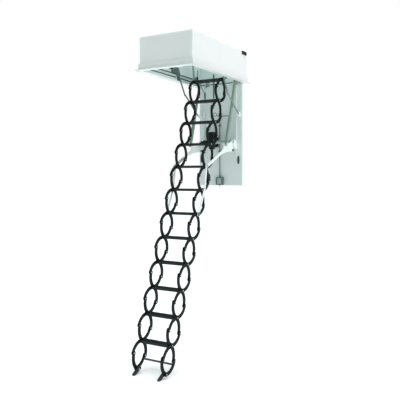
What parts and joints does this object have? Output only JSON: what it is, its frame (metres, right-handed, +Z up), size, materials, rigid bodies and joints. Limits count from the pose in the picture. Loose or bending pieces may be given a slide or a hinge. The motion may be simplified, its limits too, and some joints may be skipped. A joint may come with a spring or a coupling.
{
  "type": "attic ladder",
  "caption": "Electric concertina loft ladder: hatch box with hinged leaf, curved scissor links, flat treads, lever arms, struts and folding stays.",
  "frame": {"origin": "middle of the trim flange's screw pattern, on the ceiling plane, under the middle of the hatch box", "axes": "+Z up, +X along the hatch box towards the leaf's hinge end, +Y to the left of a person who faces the hinge end"},
  "size_m": [1.5225, 0.68, 3.1992],
  "materials": {
    "box_board": "board faced with smooth satin white laminate",
    "white_trim": "satin white lacquer",
    "leaf_board": "insulated panel faced with satin white laminate",
    "seal_rubber": "matt",
    "ladder_black": "anthracite coated cast aluminium",
    "tread_dark": "anthracite ribbed extrusion",
    "lever_white": "white",
    "stay_grey": "grey-green",
    "strut_green": "grey-green tube",
    "zinc": "zinc plated steel",
    "drive_black": "black moulded housing",
    "foot_rubber": "matt black"
  },
  "bodies": {
    "box": {"box_side_walls": "box_board", "box_end_walls": "box_board", "ceiling_trim": "white_trim", "gasket": "seal_rubber", "box_brackets": "zinc", "hinge_box_plates": "zinc"},
    "hanger": {"hanger_arms": "stay_grey", "tread_01": "tread_dark"},
    "leaf": {"leaf_panel": "leaf_board", "leaf_rails": "lever_white", "hinge_leaf_plates": "zinc", "latch_case": "stay_grey", "drive_motor": "drive_black"},
    "latch": {"latch_rod": "stay_grey"},
    "lever_arms": {"lever_arms": "lever_white", "drive_shaft": "drive_black"},
    "lever_links": {"lever_links": "lever_white"},
    "strut_tubes": {"strut_tubes": "strut_green"},
    "strut_rods": {"strut_rods": "strut_green"},
    "stay_upper_links": {"stay_upper_links": "stay_grey"},
    "stay_lower_links": {"stay_lower_links": "stay_grey"},
    "link_a_01": {"link_a_01": "ladder_black"},
    "link_b_01": {"link_b_01": "ladder_black"},
    "link_a_02": {"link_a_02": "ladder_black"},
    "link_b_02": {"link_b_02": "ladder_black"},
    "link_a_03": {"link_a_03": "ladder_black"},
    "link_b_03": {"link_b_03": "ladder_black"},
    "link_a_04": {"link_a_04": "ladder_black"},
    "link_b_04": {"link_b_04": "ladder_black"},
    "link_a_05": {"link_a_05": "ladder_black"},
    "link_b_05": {"link_b_05": "ladder_black"},
    "link_a_06": {"link_a_06": "ladder_black"},
    "link_b_06": {"link_b_06": "ladder_black"},
    "link_a_07": {"link_a_07": "ladder_black"},
    "link_b_07": {"link_b_07": "ladder_black"},
    "link_a_08": {"link_a_08": "ladder_black"},
    "link_b_08": {"link_b_08": "ladder_black"},
    "link_a_09": {"link_a_09": "ladder_black"},
    "link_b_09": {"link_b_09": "ladder_black"},
    "link_a_10": {"link_a_10": "ladder_black"},
    "link_b_10": {"link_b_10": "ladder_black"},
    "link_a_11": {"link_a_11": "ladder_black"},
    "link_b_11": {"link_b_11": "ladder_black"},
    "link_a_12": {"link_a_12": "ladder_black"},
    "link_b_12": {"link_b_12": "ladder_black"},
    "link_a_13": {"link_a_13": "ladder_black"},
    "link_b_13": {"link_b_13": "ladder_black", "stabiliser_bar": "tread_dark"},
    "tread_02": {"tread_02": "tread_dark"},
    "tread_03": {"tread_03": "tread_dark"},
    "tread_04": {"tread_04": "tread_dark"},
    "tread_05": {"tread_05": "tread_dark"},
    "tread_06": {"tread_06": "tread_dark"},
    "tread_07": {"tread_07": "tread_dark"},
    "tread_08": {"tread_08": "tread_dark"},
    "tread_09": {"tread_09": "tread_dark"},
    "tread_10": {"tread_10": "tread_dark"},
    "tread_11": {"tread_11": "tread_dark"},
    "tread_12": {"tread_12": "tread_dark"},
    "feet": {"feet": "foot_rubber"}
  },
  "joints": [
    {"name": "hanger_swing", "type": "hinge", "parent": "box", "child": "hanger", "pos_m": [0.24, 0, 0.25], "axis": [0, 1, 0], "range_deg": [0, 45]},
    {"name": "ladder_fold", "type": "hinge", "parent": "hanger", "child": "link_a_01", "pos_m": [0.28, 0, 0], "axis": [0, -1, 0], "range_deg": [0, 36]},
    {"name": "link_b_01_pivot", "type": "hinge", "parent": "hanger", "child": "link_b_01", "pos_m": [0.28, 0, 0], "axis": [0, 1, 0], "range_deg": [0, 36]},
    {"name": "link_b_02_pivot", "type": "hinge", "parent": "link_a_01", "child": "link_b_02", "pos_m": [0.32272, 0, -0.15257], "axis": [0, 1, 0], "range_deg": [0, 72]},
    {"name": "link_a_02_pivot", "type": "hinge", "parent": "link_b_02", "child": "link_a_02", "pos_m": [0.18829, 0, -0.23644], "axis": [0, -1, 0], "range_deg": [0, 72]},
    {"name": "tread_02_pivot", "type": "hinge", "parent": "link_b_02", "child": "tread_02", "pos_m": [0.18829, 0, -0.23644], "axis": [0, -1, 0], "range_deg": [0, 36]},
    {"name": "link_a_03_pivot", "type": "hinge", "parent": "link_b_02", "child": "link_a_03", "pos_m": [0.05387, 0, -0.3203], "axis": [0, -1, 0], "range_deg": [0, 72]},
    {"name": "link_b_03_pivot", "type": "hinge", "parent": "link_a_03", "child": "link_b_03", "pos_m": [0.09658, 0, -0.47287], "axis": [0, 1, 0], "range_deg": [0, 72]},
    {"name": "tread_03_pivot", "type": "hinge", "parent": "link_a_03", "child": "tread_03", "pos_m": [0.09658, 0, -0.47287], "axis": [0, 1, 0], "range_deg": [0, 36]},
    {"name": "link_b_04_pivot", "type": "hinge", "parent": "link_a_03", "child": "link_b_04", "pos_m": [0.1393, 0, -0.62545], "axis": [0, 1, 0], "range_deg": [0, 72]},
    {"name": "link_a_04_pivot", "type": "hinge", "parent": "link_b_04", "child": "link_a_04", "pos_m": [0.00488, 0, -0.70931], "axis": [0, -1, 0], "range_deg": [0, 72]},
    {"name": "tread_04_pivot", "type": "hinge", "parent": "link_b_04", "child": "tread_04", "pos_m": [0.00488, 0, -0.70931], "axis": [0, -1, 0], "range_deg": [0, 36]},
    {"name": "link_a_05_pivot", "type": "hinge", "parent": "link_b_04", "child": "link_a_05", "pos_m": [-0.12955, 0, -0.79318], "axis": [0, -1, 0], "range_deg": [0, 72]},
    {"name": "link_b_05_pivot", "type": "hinge", "parent": "link_a_05", "child": "link_b_05", "pos_m": [-0.08683, 0, -0.94575], "axis": [0, 1, 0], "range_deg": [0, 72]},
    {"name": "tread_05_pivot", "type": "hinge", "parent": "link_a_05", "child": "tread_05", "pos_m": [-0.08683, 0, -0.94575], "axis": [0, 1, 0], "range_deg": [0, 36]},
    {"name": "link_b_06_pivot", "type": "hinge", "parent": "link_a_05", "child": "link_b_06", "pos_m": [-0.04412, 0, -1.09832], "axis": [0, 1, 0], "range_deg": [0, 72]},
    {"name": "link_a_06_pivot", "type": "hinge", "parent": "link_b_06", "child": "link_a_06", "pos_m": [-0.17854, 0, -1.18219], "axis": [0, -1, 0], "range_deg": [0, 72]},
    {"name": "tread_06_pivot", "type": "hinge", "parent": "link_b_06", "child": "tread_06", "pos_m": [-0.17854, 0, -1.18219], "axis": [0, -1, 0], "range_deg": [0, 36]},
    {"name": "link_a_07_pivot", "type": "hinge", "parent": "link_b_06", "child": "link_a_07", "pos_m": [-0.31296, 0, -1.26605], "axis": [0, -1, 0], "range_deg": [0, 72]},
    {"name": "link_b_07_pivot", "type": "hinge", "parent": "link_a_07", "child": "link_b_07", "pos_m": [-0.27025, 0, -1.41862], "axis": [0, 1, 0], "range_deg": [0, 72]},
    {"name": "tread_07_pivot", "type": "hinge", "parent": "link_a_07", "child": "tread_07", "pos_m": [-0.27025, 0, -1.41862], "axis": [0, 1, 0], "range_deg": [0, 36]},
    {"name": "link_b_08_pivot", "type": "hinge", "parent": "link_a_07", "child": "link_b_08", "pos_m": [-0.22753, 0, -1.5712], "axis": [0, 1, 0], "range_deg": [0, 72]},
    {"name": "link_a_08_pivot", "type": "hinge", "parent": "link_b_08", "child": "link_a_08", "pos_m": [-0.36196, 0, -1.65506], "axis": [0, -1, 0], "range_deg": [0, 72]},
    {"name": "tread_08_pivot", "type": "hinge", "parent": "link_b_08", "child": "tread_08", "pos_m": [-0.36196, 0, -1.65506], "axis": [0, -1, 0], "range_deg": [0, 36]},
    {"name": "link_a_09_pivot", "type": "hinge", "parent": "link_b_08", "child": "link_a_09", "pos_m": [-0.49638, 0, -1.73893], "axis": [0, -1, 0], "range_deg": [0, 72]},
    {"name": "link_b_09_pivot", "type": "hinge", "parent": "link_a_09", "child": "link_b_09", "pos_m": [-0.45366, 0, -1.8915], "axis": [0, 1, 0], "range_deg": [0, 72]},
    {"name": "tread_09_pivot", "type": "hinge", "parent": "link_a_09", "child": "tread_09", "pos_m": [-0.45366, 0, -1.8915], "axis": [0, 1, 0], "range_deg": [0, 36]},
    {"name": "link_b_10_pivot", "type": "hinge", "parent": "link_a_09", "child": "link_b_10", "pos_m": [-0.41095, 0, -2.04407], "axis": [0, 1, 0], "range_deg": [0, 72]},
    {"name": "link_a_10_pivot", "type": "hinge", "parent": "link_b_10", "child": "link_a_10", "pos_m": [-0.54537, 0, -2.12794], "axis": [0, -1, 0], "range_deg": [0, 72]},
    {"name": "tread_10_pivot", "type": "hinge", "parent": "link_b_10", "child": "tread_10", "pos_m": [-0.54537, 0, -2.12794], "axis": [0, -1, 0], "range_deg": [0, 36]},
    {"name": "link_a_11_pivot", "type": "hinge", "parent": "link_b_10", "child": "link_a_11", "pos_m": [-0.6798, 0, -2.2118], "axis": [0, -1, 0], "range_deg": [0, 72]},
    {"name": "link_b_11_pivot", "type": "hinge", "parent": "link_a_11", "child": "link_b_11", "pos_m": [-0.63708, 0, -2.36437], "axis": [0, 1, 0], "range_deg": [0, 72]},
    {"name": "tread_11_pivot", "type": "hinge", "parent": "link_a_11", "child": "tread_11", "pos_m": [-0.63708, 0, -2.36437], "axis": [0, 1, 0], "range_deg": [0, 36]},
    {"name": "link_b_12_pivot", "type": "hinge", "parent": "link_a_11", "child": "link_b_12", "pos_m": [-0.59436, 0, -2.51695], "axis": [0, 1, 0], "range_deg": [0, 72]},
    {"name": "link_a_12_pivot", "type": "hinge", "parent": "link_b_12", "child": "link_a_12", "pos_m": [-0.72879, 0, -2.60081], "axis": [0, -1, 0], "range_deg": [0, 72]},
    {"name": "tread_12_pivot", "type": "hinge", "parent": "link_b_12", "child": "tread_12", "pos_m": [-0.72879, 0, -2.60081], "axis": [0, -1, 0], "range_deg": [0, 36]},
    {"name": "link_a_13_pivot", "type": "hinge", "parent": "link_b_12", "child": "link_a_13", "pos_m": [-0.86321, 0, -2.68467], "axis": [0, -1, 0], "range_deg": [0, 72]},
    {"name": "link_b_13_pivot", "type": "hinge", "parent": "link_a_13", "child": "link_b_13", "pos_m": [-0.8205, 0, -2.83725], "axis": [0, 1, 0], "range_deg": [0, 72]},
    {"name": "foot_pivot", "type": "hinge", "parent": "link_a_13", "child": "feet", "pos_m": [-0.8205, 0, -2.83725], "axis": [0, 1, 0], "range_deg": [0, 36]},
    {"name": "leaf_hinge", "type": "hinge", "parent": "box", "child": "leaf", "pos_m": [0.571, 0, -0.01], "axis": [0, 1, 0], "range_deg": [0, 55]},
    {"name": "lever_pivot", "type": "hinge", "parent": "leaf", "child": "lever_arms", "pos_m": [0.44, 0, -0.662], "axis": [0, 1, 0], "range_deg": [0, 39.56]},
    {"name": "knee_pivot", "type": "hinge", "parent": "lever_arms", "child": "lever_links", "pos_m": [-0.115, 0, -0.94], "axis": [0, -1, 0], "range_deg": [0, 95.13]},
    {"name": "strut_pivot", "type": "hinge", "parent": "box", "child": "strut_tubes", "pos_m": [0.47, 0, 0.04], "axis": [0, 1, 0], "range_deg": [0, 60.27]},
    {"name": "strut_slide", "type": "slide", "parent": "strut_tubes", "child": "strut_rods", "axis": [0.285, 0, 0.9585], "range_m": [0, 0.22669]},
    {"name": "stay_box_pivot", "type": "hinge", "parent": "box", "child": "stay_upper_links", "pos_m": [0.08, 0, 0.04], "axis": [0, 1, 0], "range_deg": [0, 88.84]},
    {"name": "stay_knee_pivot", "type": "hinge", "parent": "stay_upper_links", "child": "stay_lower_links", "pos_m": [0.2, 0, -0.15], "axis": [0, -1, 0], "range_deg": [0, 116.42]},
    {"name": "latch_slide", "type": "slide", "parent": "leaf", "child": "latch", "axis": [0, 0, 1], "range_m": [0, 0.015], "stiffness_N_per_m": 400, "springref_m": -0.02}
  ],
  "couplings": [
    {"joint": "hanger_swing", "follows": "ladder_fold", "ratio": 1.25},
    {"joint": "link_b_01_pivot", "follows": "ladder_fold", "ratio": 1},
    {"joint": "link_b_02_pivot", "follows": "ladder_fold", "ratio": 2},
    {"joint": "link_a_02_pivot", "follows": "ladder_fold", "ratio": 2},
    {"joint": "tread_02_pivot", "follows": "ladder_fold", "ratio": 1},
    {"joint": "link_a_03_pivot", "follows": "ladder_fold", "ratio": 2},
    {"joint": "link_b_03_pivot", "follows": "ladder_fold", "ratio": 2},
    {"joint": "tread_03_pivot", "follows": "ladder_fold", "ratio": 1},
    {"joint": "link_b_04_pivot", "follows": "ladder_fold", "ratio": 2},
    {"joint": "link_a_04_pivot", "follows": "ladder_fold", "ratio": 2},
    {"joint": "tread_04_pivot", "follows": "ladder_fold", "ratio": 1},
    {"joint": "link_a_05_pivot", "follows": "ladder_fold", "ratio": 2},
    {"joint": "link_b_05_pivot", "follows": "ladder_fold", "ratio": 2},
    {"joint": "tread_05_pivot", "follows": "ladder_fold", "ratio": 1},
    {"joint": "link_b_06_pivot", "follows": "ladder_fold", "ratio": 2},
    {"joint": "link_a_06_pivot", "follows": "ladder_fold", "ratio": 2},
    {"joint": "tread_06_pivot", "follows": "ladder_fold", "ratio": 1},
    {"joint": "link_a_07_pivot", "follows": "ladder_fold", "ratio": 2},
    {"joint": "link_b_07_pivot", "follows": "ladder_fold", "ratio": 2},
    {"joint": "tread_07_pivot", "follows": "ladder_fold", "ratio": 1},
    {"joint": "link_b_08_pivot", "follows": "ladder_fold", "ratio": 2},
    {"joint": "link_a_08_pivot", "follows": "ladder_fold", "ratio": 2},
    {"joint": "tread_08_pivot", "follows": "ladder_fold", "ratio": 1},
    {"joint": "link_a_09_pivot", "follows": "ladder_fold", "ratio": 2},
    {"joint": "link_b_09_pivot", "follows": "ladder_fold", "ratio": 2},
    {"joint": "tread_09_pivot", "follows": "ladder_fold", "ratio": 1},
    {"joint": "link_b_10_pivot", "follows": "ladder_fold", "ratio": 2},
    {"joint": "link_a_10_pivot", "follows": "ladder_fold", "ratio": 2},
    {"joint": "tread_10_pivot", "follows": "ladder_fold", "ratio": 1},
    {"joint": "link_a_11_pivot", "follows": "ladder_fold", "ratio": 2},
    {"joint": "link_b_11_pivot", "follows": "ladder_fold", "ratio": 2},
    {"joint": "tread_11_pivot", "follows": "ladder_fold", "ratio": 1},
    {"joint": "link_b_12_pivot", "follows": "ladder_fold", "ratio": 2},
    {"joint": "link_a_12_pivot", "follows": "ladder_fold", "ratio": 2},
    {"joint": "tread_12_pivot", "follows": "ladder_fold", "ratio": 1},
    {"joint": "link_a_13_pivot", "follows": "ladder_fold", "ratio": 2},
    {"joint": "link_b_13_pivot", "follows": "ladder_fold", "ratio": 2},
    {"joint": "foot_pivot", "follows": "ladder_fold", "ratio": 1},
    {"joint": "leaf_hinge", "follows": "ladder_fold", "ratio": 1.5278},
    {"joint": "lever_pivot", "follows": "ladder_fold", "ratio": 1.099},
    {"joint": "knee_pivot", "follows": "ladder_fold", "ratio": 2.6424},
    {"joint": "strut_pivot", "follows": "ladder_fold", "ratio": 1.6743},
    {"joint": "strut_slide", "follows": "ladder_fold", "m_per_rad": 0.36078},
    {"joint": "stay_box_pivot", "follows": "ladder_fold", "ratio": 2.4677},
    {"joint": "stay_knee_pivot", "follows": "ladder_fold", "ratio": 3.2338}
  ]
}
